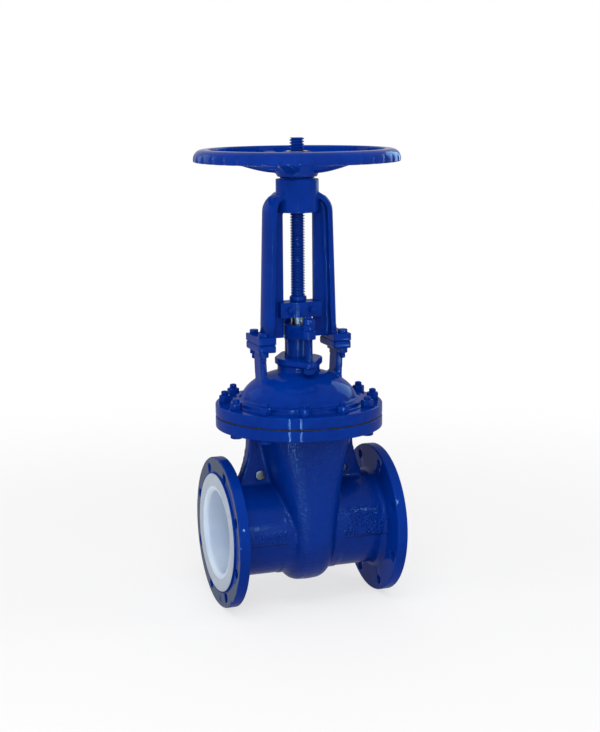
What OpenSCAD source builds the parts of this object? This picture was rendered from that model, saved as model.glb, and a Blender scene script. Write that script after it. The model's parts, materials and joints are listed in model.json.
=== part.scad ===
// Lined gate valve with a rising stem, an outside screw and yoke, flanged at both ends.
// The bore runs along +X from the inlet face at x = 0, and the stem rises along +Z.
// All sizes are in millimetres.

/* [Pipe ends] */
// Distance between the two pipe flange faces
face_to_face = 400; // [380:5:560]
// Diameter of the lined port
port_d = 185; // [150:1:230]
// Wall of the cast body and bonnet
wall = 10; // [8:0.5:12]
// Thickness of the fluoroplastic lining
lining = 4; // [3:0.5:5]
// Diameter of the pipe flanges
flange_d = 340; // [335:1:400]
// Thickness of the pipe flanges
flange_t = 24; // [20:1:32]
// Diameter of the raised lining face on each pipe flange
raised_d = 266; // [240:1:268]
// Bolt circle of the pipe flanges
flange_pcd = 295; // [294:1:355]
// Bolt holes in each pipe flange
flange_bolts = 8; // [4:4:12]
// Diameter of the pipe flange bolt holes
flange_hole_d = 22; // [18:1:26]
// Radius of the fillet where a neck meets its flange
root_r = 9; // [4:1:14]

/* [Body] */
// Room around the closed gate inside the lined chamber
gate_room = 14; // [12:1:22]
// Half width of the chamber along the pipe at the bore
chamber_w = 57; // [54:1:70]
// Half width of the chamber along the pipe under its flange
chamber_top_w = 104; // [96:1:108]
// Height of the body flange's underside over the bore axis
body_top = 233; // [225:1:280]
// Thickness of the webs between the chamber and the necks
web_t = 34; // [16:1:40]
// Radius of the concave outer edge of the webs
web_edge_r = 260; // [200:10:400]
// Diameter of the plug in each web
plug_d = 23; // [16:1:26]
// Height of the casting's parting line over the bore axis
parting_z = -12; // [-20:1:0]
// Step of the necks at the parting line
parting_step = 1.4; // [0.5:0.1:2.5]
// Thickness of the rails that guide the gate
rail_w = 10; // [8:1:14]

/* [Bonnet joint] */
// Diameter of the bonnet joint flanges
joint_d = 376; // [370:1:440]
// Thickness of the body's and the bonnet's joint flange
joint_t = 25; // [22:1:30]
// Bolt circle of the bonnet joint
joint_pcd = 334; // [332:1:400]
// Bolts in the bonnet joint
joint_bolts = 12; // [12:4:16]
// Diameter of the bonnet joint's bolt holes
joint_hole_d = 22; // [18:1:23]
// Thickness of the bonnet gasket
gasket_t = 3; // [2:0.5:4]

/* [Bonnet] */
// Outer diameter of the dome at its foot
dome_d = 266; // [262:1:280]
// Height of the dome over its flange
dome_h = 76; // [70:1:90]
// Height of the raised step around the dome's foot
step_h = 11; // [6:1:14]
// Diameter of the stuffing box
box_d = 95; // [84:1:100]
// Height of the stuffing box's top face over the bonnet flange
box_h = 102; // [98:1:112]
// Thickness of the oval lip that carries the gland studs
lip_t = 14; // [12:1:18]
// Depth of the bonnet arms, across the pipe
arm_depth = 50; // [40:1:60]
// Thickness of the bonnet arms
arm_t = 13; // [10:1:16]
// Thickness of each of the two lug plates bolted together
lug_t = 17; // [14:1:20]
// Half length of the lug plates from the stem
lug_x = 108; // [104:1:114]
// Width of the lug plates, across the pipe
lug_w = 98; // [84:1:110]
// Height of the lug joint over the stuffing box's top face
lug_rise = 37; // [30:1:50]
// Distance of the lug bolts from the stem along the pipe
lug_bolt_x = 93; // [90:0.5:96]
// Distance of the lug bolts from the stem across the pipe
lug_bolt_y = 34; // [28:1:40]
// Diameter of the lug bolt holes
lug_hole_d = 14; // [12:1:16]

/* [Gland] */
// Distance of the gland studs from the stem
gland_stud_y = 70; // [64:1:76]
// Diameter of the gland stud holes
gland_hole_d = 17; // [14:1:18]
// Thickness of the gland flange
gland_t = 25; // [18:1:28]
// Radial width of the packing
packing_w = 10; // [8:0.5:12]
// Height of the packing set
packing_h = 34; // [26:1:40]

/* [Yoke] */
// Height of the window between the yoke arms
window_h = 270; // [262:1:300]
// Half width of the window between the yoke arms
window_w = 36; // [34:1:40]
// Half width over the yoke arms at the foot
yoke_foot_x = 82; // [80:1:86]
// Half width over the yoke arms at the shoulder
yoke_shoulder_x = 74; // [70:1:80]
// Depth of the arms' outer plates, across the pipe
yoke_depth = 62; // [50:1:70]
// Thickness of the arms' plates and webs
yoke_t = 13; // [10:1:16]
// Diameter of the yoke head
head_d = 95; // [92:1:110]
// Height of the yoke head
head_h = 73; // [70:1:84]

/* [Stem and handwheel] */
// Travel of the stem from closed to open
travel = 192; // [180:6:216]
// Diameter of the stem
stem_d = 32; // [28:1:38]
// Length of stem that stands over the yoke head when closed
stem_over = 89; // [84:1:100]
// Overall diameter of the handwheel
wheel_d = 456; // [400:1:560]
// Width of the handwheel's rim
rim_w = 35; // [30:1:40]
// Height of the handwheel's rim
rim_h = 28; // [24:1:34]
// Height of the rim's middle over the hub's foot
rim_rise = 47; // [40:1:52]
// Grip flutes around the rim
flutes = 40; // [30:1:48]
// Depth of the grip flutes
flute_depth = 3.5; // [2:0.5:6]
// Handwheel spokes
spokes = 5; // [3:1:6]
// Width of a spoke at the hub
spoke_w = 36; // [24:1:40]
// Diameter of the handwheel hub
hub_d = 95; // [90:1:100]
// Height of the handwheel hub
hub_h = 44; // [40:1:50]
// Height of the guide clamp on the stem
clamp_h = 34; // [30:1:36]
// Half length of the guide clamp
clamp_x = 49; // [46:1:52]
// Distance of the clamp bolts from the stem
clamp_bolt_x = 26; // [24:0.5:28]
// Diameter of the clamp bolt holes
clamp_hole_d = 9; // [7:0.5:11]

/* [Gate] */
// How far the gate laps over the port all round
gate_lap = 5.5; // [4:0.5:10]
// Half thickness of the gate at the bore axis
gate_w = 26; // [22:1:30]
// Slope of each gate face, in degrees
gate_slope = 3; // [2:0.5:4]

/* [Hidden] */
$fn = 96;

// Named clearances
EPS = 0.01;        // overlap that fuses pieces of one casting
CUT = 1;           // reach of a cutter past the face it opens
RUN = 0.1;         // between a turning piece and its bearing
SLIDE = 0.3;       // between the stem and what it slides through
LINER_GAP = 0.15;  // between a lining and the casting around it
CAST_GAP = 0.1;    // between the bonnet's two parts, which are one casting
SEAT_GAP = 0.3;    // between the closed gate and its seats
RAIL_GAP = 0.6;    // between the gate's notches and the rails
CLAMP_GAP = 1;     // between the guide clamp and the yoke webs
STOP_GAP = 6;      // between the raised stem's pieces and what is over them
HUB_GAP = 4;       // between the yoke head and the handwheel's hub
NUT_ROOM = 18.5;   // from a joint bolt's axis to the step beside its nut

// Radii about the bore and the stem
stem_x = face_to_face / 2;
bore_r = port_d / 2 + lining;
neck_r = bore_r + wall;
gate_r = port_d / 2 + gate_lap;
chamber_r = gate_r + gate_room + lining + wall;
seat_back = gate_w + 2 * wall;
seat_r = bore_r + 2;
lip_round = 6;
dome_wall = wall + 7;
step_r = joint_pcd / 2 - NUT_ROOM;
box_bore_r = stem_d / 2 + packing_w;

// Heights over the bore axis
joint_z = body_top + joint_t;
bonnet_z = joint_z + gasket_t;
dome_z = bonnet_z + joint_t;
box_z = dome_z + box_h;
lug_z = box_z + lug_rise;
foot_z = lug_z + lug_t;
gland_z = foot_z - 4;
head_z = foot_z + window_h;
cap_z = head_z + head_h;
hub_z = cap_z + HUB_GAP;
stem_top = cap_z + stem_over;
clamp_z = head_z - travel - STOP_GAP - clamp_h;

// Webs and their plugs
web_reach = 42;
web_z = neck_r - 20;
plug_x = chamber_top_w - 6;
plug_z = neck_r + 20;
plug_depth = 8;

// Bearing stack in the yoke head: ring, sleeve flange, ring and cap
head_bore_r = stem_d / 2 + 9;
stack_r = 38;
ring_h = 6;
sleeve_r = stem_d / 2 + 8;
sleeve_flange_h = 16;
stack_z = head_z + 26 + RUN;
upper_ring_z = stack_z + ring_h + sleeve_flange_h + 2 * RUN;
nut_h = 11;
nut_r = sleeve_r + 10;

// The stem's collar, and its tee held in a slot across the gate's block
collar_h = 12;
collar_r = stem_d / 2 + 3;
gate_top = gate_r + 30;
block_x = gate_w - 2;
tee_y = stem_d / 2 + 10;
tee_h = 10;
slot_h = 20;
notch_y = gate_r - 10;

// ---- Placing ----
module along_x(x = 0) {
    translate([x, 0, 0]) rotate([0, 90, 0]) children();
}

module at_stem(z = 0) {
    translate([stem_x, 0, z]) children();
}

// Both sides of the stem, along the pipe
module both_ends() {
    at_stem() {
        children();
        mirror([1, 0, 0]) children();
    }
}

// Both ends of the bore, each starting from its pipe flange's face
module both_ports() {
    both_ends() along_x(-stem_x) children();
}

module across(t) {
    rotate([90, 0, 0]) translate([0, 0, -t / 2]) linear_extrude(t) children();
}

module bolt_ring(count, pcd, d, h) {
    for (i = [0 : count - 1])
        rotate((i + 0.5) * 360 / count) translate([pcd / 2, 0, -h / 2]) cylinder(d = d, h = h);
}

module stud_holes(y, d, h) {
    for (s = [-1, 1]) translate([0, s * y, 0]) cylinder(d = d, h = h, center = true);
}

module tube(r_out, r_in, h) {
    difference() {
        cylinder(r = r_out, h = h);
        translate([0, 0, -CUT]) cylinder(r = r_in, h = h + 2 * CUT);
    }
}

// Quarter-round fillet at the foot of a cylinder of radius r
module root_fillet(r, fillet_r) {
    rotate_extrude() translate([r - EPS, 0]) difference() {
        square(fillet_r);
        translate([fillet_r, fillet_r]) circle(r = fillet_r);
    }
}

// ---- Chamber: a drum about the bore axis, with a flared oblong loft over it ----
RING_POINTS = 32;
LEVELS = 7;
OBLONG = 3.6;      // exponent of the rounded oblong, 2 being an ellipse
FLARE = 1.35;      // how late the chamber widens towards its flange

function signed_power(v, e) = sign(v) * pow(abs(v), e);
function flare(z) = chamber_w + (chamber_top_w - chamber_w) * pow(z / body_top, FLARE);
function oblong(half_x, half_y) = [
    for (i = [0 : RING_POINTS - 1])
        let (a = i * 360 / RING_POINTS)
        [half_x * signed_power(cos(a), 2 / OBLONG), half_y * signed_power(sin(a), 2 / OBLONG)]
];

module loft(rings) {
    n = len(rings[0]);
    last = len(rings) - 1;
    polyhedron(
        points = [for (ring = rings) each ring],
        faces = concat(
            [[for (i = [0 : n - 1]) i]],
            [for (k = [0 : last - 1]) for (i = [0 : n - 1])
                [k * n + i, (k + 1) * n + i, (k + 1) * n + (i + 1) % n, k * n + (i + 1) % n]],
            [[for (i = [n - 1 : -1 : 0]) last * n + i]]
        ),
        convexity = 4
    );
}

// The outer form of the chamber up to top, or its hollow if inset
module chamber(inset, top) {
    half_y = chamber_r - inset;
    at_stem() {
        loft([for (k = [0 : LEVELS]) let (z = k * top / LEVELS) [
            for (p = oblong(flare(z) - inset, half_y)) [p.x, p.y, z]
        ]]);
        rotate([0, 90, 0]) rotate_extrude() intersection() {
            rotate(90) polygon(oblong(chamber_w - inset, half_y));
            translate([0, -chamber_w]) square([2 * chamber_r, 2 * chamber_w]);
        }
    }
}

// ---- Body ----
module pipe_flange() {
    translate([0, 0, lining]) difference() {
        union() {
            cylinder(d = flange_d, h = flange_t);
            translate([0, 0, flange_t - EPS]) root_fillet(neck_r, root_r);
        }
        bolt_ring(flange_bolts, flange_pcd, flange_hole_d, 4 * flange_t);
    }
}

// The neck stands a step prouder over the casting's parting line than under it
module neck() {
    length = stem_x - lining - seat_back;
    translate([0, 0, lining]) {
        cylinder(r = neck_r - parting_step, h = length);
        intersection() {
            cylinder(r = neck_r, h = length);
            translate([-parting_z - 2 * neck_r, -neck_r, 0]) cube([2 * neck_r, 2 * neck_r, length]);
        }
    }
}

module body_web() {
    across(web_t) difference() {
        translate([0, web_z]) square([chamber_top_w + web_reach, body_top - web_z + EPS]);
        translate([chamber_top_w + 18 + web_edge_r, body_top - 10]) circle(r = web_edge_r);
    }
}

module valve_body() {
    color("mediumblue") difference() {
        union() {
            chamber(0, body_top + EPS);
            at_stem(body_top) cylinder(d = joint_d, h = joint_t);
            both_ports() {
                pipe_flange();
                neck();
            }
            both_ends() body_web();
        }
        chamber(wall, joint_z + CUT);
        both_ports() translate([0, 0, -CUT]) cylinder(r = bore_r, h = stem_x);
        both_ends() translate([plug_x, -web_t / 2, plug_z]) rotate([90, 0, 0])
            cylinder(d = plug_d, h = 2 * plug_depth, center = true);
        at_stem(joint_z) bolt_ring(joint_bolts, joint_pcd, joint_hole_d, 4 * joint_t);
    }
}

// Rails on the lining's side walls, which the notches in the gate's edge slide along
module rails() {
    inner = notch_y + RAIL_GAP;
    for (s = [-1, 1]) scale([1, s, 1])
        translate([-rail_w / 2, inner, -notch_y / 3])
            cube([rail_w, chamber_r - wall - inner - lining + CUT, joint_z - lining - CUT + notch_y / 3]);
}

module body_lining() {
    color("aliceblue") difference() {
        union() {
            difference() {
                chamber(wall + LINER_GAP, joint_z);
                chamber(wall + lining, joint_z + CUT);
            }
            intersection() {
                chamber(wall + LINER_GAP, joint_z);
                at_stem() rails();
            }
            both_ports() {
                cylinder(d = raised_d, h = lining);
                cylinder(r = bore_r - LINER_GAP, h = stem_x - seat_back);
            }
        }
        along_x(-CUT) cylinder(d = port_d, h = face_to_face + 2 * CUT);
        both_ports() translate([0, 0, -EPS]) rotate_extrude() translate([port_d / 2, 0]) difference() {
            translate([-CUT, 0]) square([lip_round + CUT, lip_round]);
            translate([lip_round, lip_round]) circle(r = lip_round);
        }
    }
}

// A seat ring of the inlet side, cut to the slope of the gate's face
module seat() {
    difference() {
        intersection() {
            at_stem() along_x(LINER_GAP - seat_back) tube(seat_r, port_d / 2, seat_back);
            chamber(wall + lining + LINER_GAP, gate_r);
        }
        at_stem() gate_form(SEAT_GAP);
    }
}

module inlet_seat() {
    color("white") seat();
}

module outlet_seat() {
    color("white") translate([face_to_face, 0, 0]) mirror([1, 0, 0]) seat();
}

module web_plugs() {
    color("dimgray") both_ends() translate([plug_x, CUT - web_t / 2, plug_z]) rotate([-90, 0, 0])
        cylinder(d = plug_d - 2 * RUN, h = plug_depth - CUT);
}

// ---- Bonnet ----
module bonnet_gasket() {
    color("darkslategray") at_stem(joint_z) difference() {
        cylinder(d = joint_d - 4, h = gasket_t);
        translate([0, 0, -CUT]) cylinder(r = chamber_r - wall - lining, h = gasket_t + 2 * CUT);
        bolt_ring(joint_bolts, joint_pcd, joint_hole_d, 4 * gasket_t);
    }
}

module dome(inset) {
    steps = 16;
    rotate_extrude() polygon(concat(
        [[0, 0]],
        [for (i = [0 : steps]) let (a = 90 * i / steps)
            [(dome_d / 2 - inset) * cos(a), (dome_h - inset) * sin(a)]]
    ));
}

module oval(h, r, ear_r) {
    hull() {
        cylinder(r = r, h = h);
        for (s = [-1, 1]) translate([0, s * gland_stud_y, 0]) cylinder(r = ear_r, h = h);
    }
}

// An arm leans in towards the dome and stands on a spread foot
module bonnet_arm() {
    outer = lug_x - 9;
    lean = 5;
    bottom = dome_z + 20;
    foot = dome_z + 0.72 * dome_h;
    spread = 7;
    across(arm_depth) polygon([
        [outer - arm_t - lean - 3, bottom], [outer - lean, bottom],
        [outer, lug_z - EPS], [outer - arm_t, lug_z - EPS]
    ]);
    across(arm_depth + spread) polygon([
        [outer - arm_t - lean - 3 - spread, bottom], [outer - lean + spread, bottom],
        [outer - lean + 2, foot - spread], [outer - lean, foot],
        [outer - arm_t - lean - 2, foot + spread], [outer - arm_t - lean - 2 - spread, foot]
    ]);
}

module lug() {
    inner = lug_x - 40;
    difference() {
        translate([inner, -lug_w / 2, 0]) cube([lug_x - inner, lug_w, lug_t]);
        translate([lug_bolt_x, 0, 0]) stud_holes(lug_bolt_y, lug_hole_d, 4 * lug_t);
    }
}

module bonnet() {
    color("mediumblue") difference() {
        union() {
            at_stem(bonnet_z) cylinder(d = joint_d, h = joint_t);
            at_stem(dome_z - EPS) {
                cylinder(r = step_r, h = step_h);
                dome(0);
                cylinder(d = box_d, h = box_h);
            }
            at_stem(box_z - lip_t) oval(lip_t, box_d / 2 + 6, gland_hole_d);
        }
        at_stem(bonnet_z - CUT) cylinder(r = chamber_r - wall, h = joint_t + CUT + EPS);
        at_stem(dome_z) dome(dome_wall);
        at_stem(dome_z) cylinder(r = stem_d / 2 + SLIDE, h = box_h + CUT);
        at_stem(box_z - packing_h) cylinder(r = box_bore_r, h = packing_h + CUT);
        at_stem(bonnet_z) bolt_ring(joint_bolts, joint_pcd, joint_hole_d, 2 * (joint_t + step_h) + CUT);
        at_stem(box_z) stud_holes(gland_stud_y, gland_hole_d, 4 * lip_t);
    }
}

// The two arms that carry the yoke, in one casting with the dome they stand on
module bonnet_arms() {
    color("mediumblue") both_ends() difference() {
        union() {
            bonnet_arm();
            translate([0, 0, lug_z - lug_t]) lug();
        }
        translate([0, 0, dome_z]) dome(-CAST_GAP);
    }
}

module bonnet_lining() {
    color("white") difference() {
        union() {
            at_stem(bonnet_z) cylinder(r = chamber_r - wall - LINER_GAP, h = joint_t + EPS);
            at_stem(dome_z) dome(dome_wall + LINER_GAP);
        }
        at_stem(bonnet_z - CUT) cylinder(r = chamber_r - wall - lining, h = joint_t + CUT + EPS);
        at_stem(dome_z) dome(dome_wall + lining);
        at_stem(dome_z) cylinder(r = stem_d / 2 + SLIDE, h = box_h);
    }
}

// ---- Gland ----
module packing() {
    color("dimgray") at_stem(box_z - packing_h)
        tube(box_bore_r - RUN, stem_d / 2 + SLIDE, packing_h - wall);
}

module gland_follower() {
    foot = box_z - wall;
    collar = 8;
    color("steelblue") at_stem() {
        translate([0, 0, foot]) tube(box_bore_r - RUN, stem_d / 2 + SLIDE, gland_z - foot);
        translate([0, 0, gland_z - collar]) tube(box_bore_r + 6, stem_d / 2 + SLIDE, collar);
    }
}

// Thick over the follower, with a thinner ear around each stud
module gland_flange() {
    ear_t = gland_t - 6;
    color("mediumblue") at_stem(gland_z) difference() {
        union() {
            oval(ear_t, box_bore_r + 4, gland_hole_d - 2);
            cylinder(r = box_bore_r + 7, h = gland_t);
        }
        translate([0, 0, -CUT]) cylinder(r = stem_d / 2 + 2, h = gland_t + 2 * CUT);
        stud_holes(gland_stud_y, gland_hole_d, 4 * gland_t);
    }
}

// ---- Yoke ----
// Outline of one half of the yoke, seen along Y, without its head
module yoke_outline(inset) {
    shoulder_z = head_z + 2;
    shoulder_h = 50;
    steps = 10;
    foot = foot_z - lug_t / 2;
    polygon(concat(
        [[0, foot], [yoke_foot_x - inset, foot]],
        [for (i = [0 : steps]) let (a = 90 * i / steps)
            [(yoke_shoulder_x - inset) * cos(a), shoulder_z + (shoulder_h - inset) * sin(a)]]
    ));
}

// Half of the window, with rounded upper corners
module window_outline() {
    corner_r = 6;
    foot = foot_z - lug_t;
    translate([-CUT, foot]) {
        square([window_w + CUT, head_z - foot - corner_r]);
        square([window_w + CUT - corner_r, head_z - foot]);
        translate([window_w + CUT - corner_r, head_z - foot - corner_r]) circle(r = corner_r);
    }
}

module yoke() {
    color("mediumblue") difference() {
        union() {
            both_ends() {
                across(yoke_depth) difference() {
                    yoke_outline(0);
                    yoke_outline(yoke_t);
                }
                across(yoke_t) difference() {
                    yoke_outline(0);
                    window_outline();
                }
                translate([0, 0, lug_z]) lug();
            }
            at_stem(head_z) cylinder(d = head_d, h = head_h);
        }
        at_stem(head_z - CUT) cylinder(r = head_bore_r, h = head_h + 2 * CUT);
        at_stem(stack_z - RUN) cylinder(r = stack_r, h = head_h);
    }
}

module lower_thrust_ring() {
    color("peru") at_stem(stack_z) tube(stack_r - RUN, sleeve_r + SLIDE, ring_h);
}

module yoke_sleeve() {
    foot = head_z + 14;
    color("goldenrod") at_stem() difference() {
        union() {
            translate([0, 0, foot]) cylinder(r = sleeve_r, h = hub_z + hub_h + nut_h + CUT - foot);
            translate([0, 0, stack_z + ring_h + RUN]) cylinder(r = stack_r - 1.5, h = sleeve_flange_h);
        }
        cylinder(r = stem_d / 2 + SLIDE, h = 2 * stem_top);
    }
}

module upper_thrust_ring() {
    color("peru") at_stem(upper_ring_z) tube(stack_r - RUN, sleeve_r + SLIDE, ring_h);
}

module head_cap() {
    base = upper_ring_z + ring_h + RUN;
    color("mediumblue") at_stem(base) tube(stack_r - 2 * RUN, sleeve_r + 1, hub_z - 1 - base);
}

// ---- Handwheel ----
// Upright outside, well rounded over the top, with a sharp inner edge
module rim_profile() {
    crown_r = 0.6 * rim_w;
    translate([wheel_d / 2 - rim_w, -rim_h / 2]) {
        square([rim_w - crown_r, rim_h]);
        square([rim_w, rim_h - crown_r]);
        translate([rim_w - crown_r, rim_h - crown_r]) intersection() {
            circle(r = crown_r);
            square(crown_r);
        }
    }
}

// Side view of a spoke from the hub to the rim: it leaves the hub low and sweeps up
module spoke_side(under, over) {
    inner = hub_d / 2 - 8;
    outer = wheel_d / 2 - rim_w / 2;
    steps = 12;
    low = 16;
    function sweep(t) = low + (rim_rise - low) * (1 - cos(180 * t)) / 2;
    polygon(concat(
        [for (i = [0 : steps]) let (t = i / steps)
            [inner + (outer - inner) * t, sweep(t) - under * (1 - t / 3)]],
        [for (i = [steps : -1 : 0]) let (t = i / steps) [inner + (outer - inner) * t, sweep(t) + over]]
    ));
}

// A spoke is a tapering plate with a rib under its middle
module spoke() {
    taper = 0.72;
    reach = wheel_d / 2 - rim_w / 2;
    intersection() {
        across(spoke_w) spoke_side(2, 7);
        linear_extrude(2 * rim_rise) polygon([
            [0, -spoke_w / 2], [reach, -taper * spoke_w / 2],
            [reach, taper * spoke_w / 2], [0, spoke_w / 2]
        ]);
    }
    across(spoke_w / 3) spoke_side(8, 5);
}

module handwheel() {
    spoke_turn = 20;
    flute_r = 7;
    foot_h = 9;
    color("mediumblue") at_stem(hub_z) difference() {
        union() {
            difference() {
                translate([0, 0, rim_rise]) rotate_extrude() rim_profile();
                for (i = [0 : flutes - 1]) rotate(i * 360 / flutes)
                    translate([wheel_d / 2 + flute_r - flute_depth, 0, rim_rise - rim_h])
                        cylinder(r = flute_r, h = 2 * rim_h, $fn = 24);
            }
            cylinder(d1 = hub_d - 7, d2 = hub_d, h = foot_h);
            translate([0, 0, foot_h - EPS]) cylinder(d = hub_d, h = hub_h - foot_h + EPS);
            for (i = [0 : spokes - 1]) rotate(spoke_turn + i * 360 / spokes) spoke();
        }
        translate([0, 0, -CUT]) cylinder(r = sleeve_r + RUN, h = hub_h + 2 * CUT);
    }
}

module wheel_nut() {
    color("mediumblue") at_stem(hub_z + hub_h + RUN) difference() {
        cylinder(r = nut_r, h = nut_h, $fn = 6);
        translate([0, 0, -CUT]) cylinder(r = sleeve_r + RUN, h = nut_h + 2 * CUT);
    }
}

// ---- Stem, guide clamp and gate ----
module stem_thread() {
    collar_z = clamp_z + clamp_h;
    thread_z = collar_z + collar_h - EPS;
    color("mediumblue") at_stem() {
        translate([0, 0, collar_z]) cylinder(r = collar_r, h = collar_h);
        translate([0, 0, thread_z]) cylinder(d = stem_d, h = stem_top - thread_z);
    }
}

module stem_rod() {
    foot = gate_top - slot_h;
    color("silver") at_stem(foot) {
        cylinder(d = stem_d, h = clamp_z + clamp_h - foot);
        translate([0, 0, tee_h]) stem_block(block_x - 3, tee_y, tee_h);
    }
}

// One half grips the stem with a round boss and bears on the yoke's webs with its ends
module clamp_half() {
    depth = 24;
    boss_r = stem_d / 2 + 14;
    thick_x = window_w - 5;
    color("mediumblue") at_stem(clamp_z) difference() {
        union() {
            translate([-clamp_x, -depth, 0]) cube([2 * clamp_x, depth - yoke_t / 2 - CLAMP_GAP, clamp_h]);
            translate([-thick_x, -depth, 0]) cube([2 * thick_x, depth - CLAMP_GAP, clamp_h]);
            intersection() {
                cylinder(r = boss_r, h = clamp_h);
                translate([-boss_r, -boss_r - CLAMP_GAP, 0]) cube([2 * boss_r, boss_r, clamp_h]);
            }
        }
        translate([0, 0, -CUT]) cylinder(d = stem_d + RUN, h = clamp_h + 2 * CUT);
        for (s = [-1, 1]) translate([s * clamp_bolt_x, 0, clamp_h / 2]) rotate([90, 0, 0])
            cylinder(d = clamp_hole_d, h = 2 * depth + CUT);
    }
}

module clamp_front() {
    clamp_half();
}

module clamp_rear() {
    mirror([0, 1, 0]) clamp_half();
}

// The wedge between the two gate faces, with no outline of its own
module gate_form(grow) {
    reach = gate_r + 20;
    rise = tan(gate_slope);
    across(2 * reach) polygon([
        for (p = [[-1, -1], [1, -1], [1, 1], [-1, 1]])
            [p.x * (gate_w + grow + p.y * reach * rise), p.y * reach]
    ]);
}

module gate_disc(inset) {
    intersection() {
        along_x(-2 * gate_w) cylinder(r = gate_r - inset, h = 4 * gate_w);
        gate_form(-inset);
    }
}

// Notches at both sides of the gate, which run on the rails
module gate_notches(grow) {
    for (s = [-1, 1]) scale([1, s, 1])
        translate([-rail_w / 2 - RAIL_GAP - grow, notch_y - grow, -gate_r])
            cube([rail_w + 2 * (RAIL_GAP + grow), gate_r, 2 * gate_r]);
}

// Block with its top at z = 0, centred on the stem
module stem_block(half_x, half_y, h) {
    translate([-half_x, -half_y, -h]) cube([2 * half_x, 2 * half_y, h]);
}

module gate_core() {
    color("gray") at_stem() difference() {
        union() {
            difference() {
                gate_disc(lining);
                gate_notches(lining);
            }
            translate([0, 0, gate_top]) stem_block(block_x, tee_y + wall, gate_top - gate_r + 3 * wall);
        }
        translate([0, 0, gate_top + tee_h + SLIDE - slot_h])
            stem_block(gate_w, tee_y + SLIDE, tee_h + 2 * SLIDE);
        translate([0, 0, gate_top + CUT]) stem_block(gate_w, stem_d / 2 + SLIDE, slot_h);
    }
}

module gate_lining() {
    color("white") at_stem() difference() {
        gate_disc(0);
        difference() {
            gate_disc(lining - RUN);
            gate_notches(lining - RUN);
        }
        gate_notches(0);
        translate([0, 0, gate_top])
            stem_block(block_x + RUN, tee_y + wall + RUN, gate_top - gate_r + 3 * wall + RUN);
    }
}

valve_body();
body_lining();
inlet_seat();
outlet_seat();
web_plugs();
bonnet_gasket();
bonnet();
bonnet_arms();
bonnet_lining();
packing();
gland_follower();
gland_flange();
yoke();
lower_thrust_ring();
yoke_sleeve();
upper_thrust_ring();
head_cap();
handwheel();
wheel_nut();
stem_thread();
stem_rod();
clamp_front();
clamp_rear();
gate_core();
gate_lining();
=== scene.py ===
"""The looks of a lined gate valve: enamelled castings, lining, fasteners, stem thread and stage."""

import json
import math

import bmesh
import bpy
from bpy.types import Operator, Panel, PropertyGroup
from mathutils import Matrix, Vector


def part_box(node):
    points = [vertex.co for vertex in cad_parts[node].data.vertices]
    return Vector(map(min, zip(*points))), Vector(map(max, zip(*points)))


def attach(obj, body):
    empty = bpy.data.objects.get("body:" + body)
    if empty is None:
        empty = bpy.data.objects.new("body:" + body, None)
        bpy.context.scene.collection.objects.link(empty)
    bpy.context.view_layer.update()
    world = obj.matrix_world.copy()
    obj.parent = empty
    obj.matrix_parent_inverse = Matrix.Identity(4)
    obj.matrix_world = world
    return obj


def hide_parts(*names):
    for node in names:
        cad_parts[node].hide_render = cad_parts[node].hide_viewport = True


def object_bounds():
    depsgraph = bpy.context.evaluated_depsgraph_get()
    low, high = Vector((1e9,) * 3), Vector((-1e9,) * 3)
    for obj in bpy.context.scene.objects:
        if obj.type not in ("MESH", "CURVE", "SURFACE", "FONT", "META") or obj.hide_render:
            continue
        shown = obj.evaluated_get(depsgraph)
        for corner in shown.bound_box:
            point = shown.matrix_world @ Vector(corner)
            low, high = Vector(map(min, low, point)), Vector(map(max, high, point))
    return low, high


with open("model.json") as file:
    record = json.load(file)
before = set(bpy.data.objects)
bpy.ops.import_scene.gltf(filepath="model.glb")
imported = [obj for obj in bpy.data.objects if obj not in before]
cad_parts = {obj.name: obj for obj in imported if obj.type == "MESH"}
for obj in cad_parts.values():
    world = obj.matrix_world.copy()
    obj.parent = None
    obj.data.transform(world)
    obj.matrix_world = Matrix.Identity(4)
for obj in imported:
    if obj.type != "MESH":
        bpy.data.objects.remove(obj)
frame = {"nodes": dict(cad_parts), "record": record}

bl_info = {
    "name": "Lined Gate Valve",
    "version": (1, 0, 0),
    "blender": (4, 5, 0),
    "location": "View3D > Sidebar > Gate Valve",
    "description": "Finishes a lined gate valve with soft castings, fasteners and a stage",
    "category": "Object",
}

# Bodies that pieces ride on
VALVE = "valve"
WHEEL = "handwheel"
STEM = "stem"

CAD_LOW, CAD_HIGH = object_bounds()
BODY_LOW, BODY_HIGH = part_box("valve_body")
LINING_LOW, LINING_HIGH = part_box("body_lining")
BONNET_LOW, BONNET_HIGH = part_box("bonnet")
ARMS_LOW, ARMS_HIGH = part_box("bonnet_arms")
CLAMP_LOW, CLAMP_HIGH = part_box("clamp_front")
THREAD_LOW, THREAD_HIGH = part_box("stem_thread")
GLAND_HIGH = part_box("gland_flange")[1]
WHEEL_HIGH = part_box("handwheel")[1]

STEM_X = ((THREAD_LOW + THREAD_HIGH) / 2).x
RAISED_R = -LINING_LOW.z  # the lining's raised face on each pipe flange
UP = Vector((0, 0, 1))
ALONG = Vector((1, 0, 0))

MOUNTS = {mount["name"]: mount for mount in frame["record"]["mounts"]}
FLANGE_BOLTS = MOUNTS["inlet_bolts"]["dims"]
FLANGE_HOLES = FLANGE_BOLTS["count"]
FLANGE_CIRCLE_R = FLANGE_BOLTS["pcd_mm"] / 2000
FLANGE_HOLE_R = FLANGE_BOLTS["hole_r_mm"] / 1000

HAIR = 0.0002  # between faces that touch, so that neither shows through the other
MERGE = 1e-6


# Settings


def length(name, description, default):
    """A size in metres."""
    return bpy.props.FloatProperty(name=name, description=description, default=default, unit="LENGTH")


def tilt(name, description, degrees):
    """An angle, given in degrees."""
    return bpy.props.FloatProperty(
        name=name, description=description, default=math.radians(degrees), subtype="ANGLE")


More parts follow.
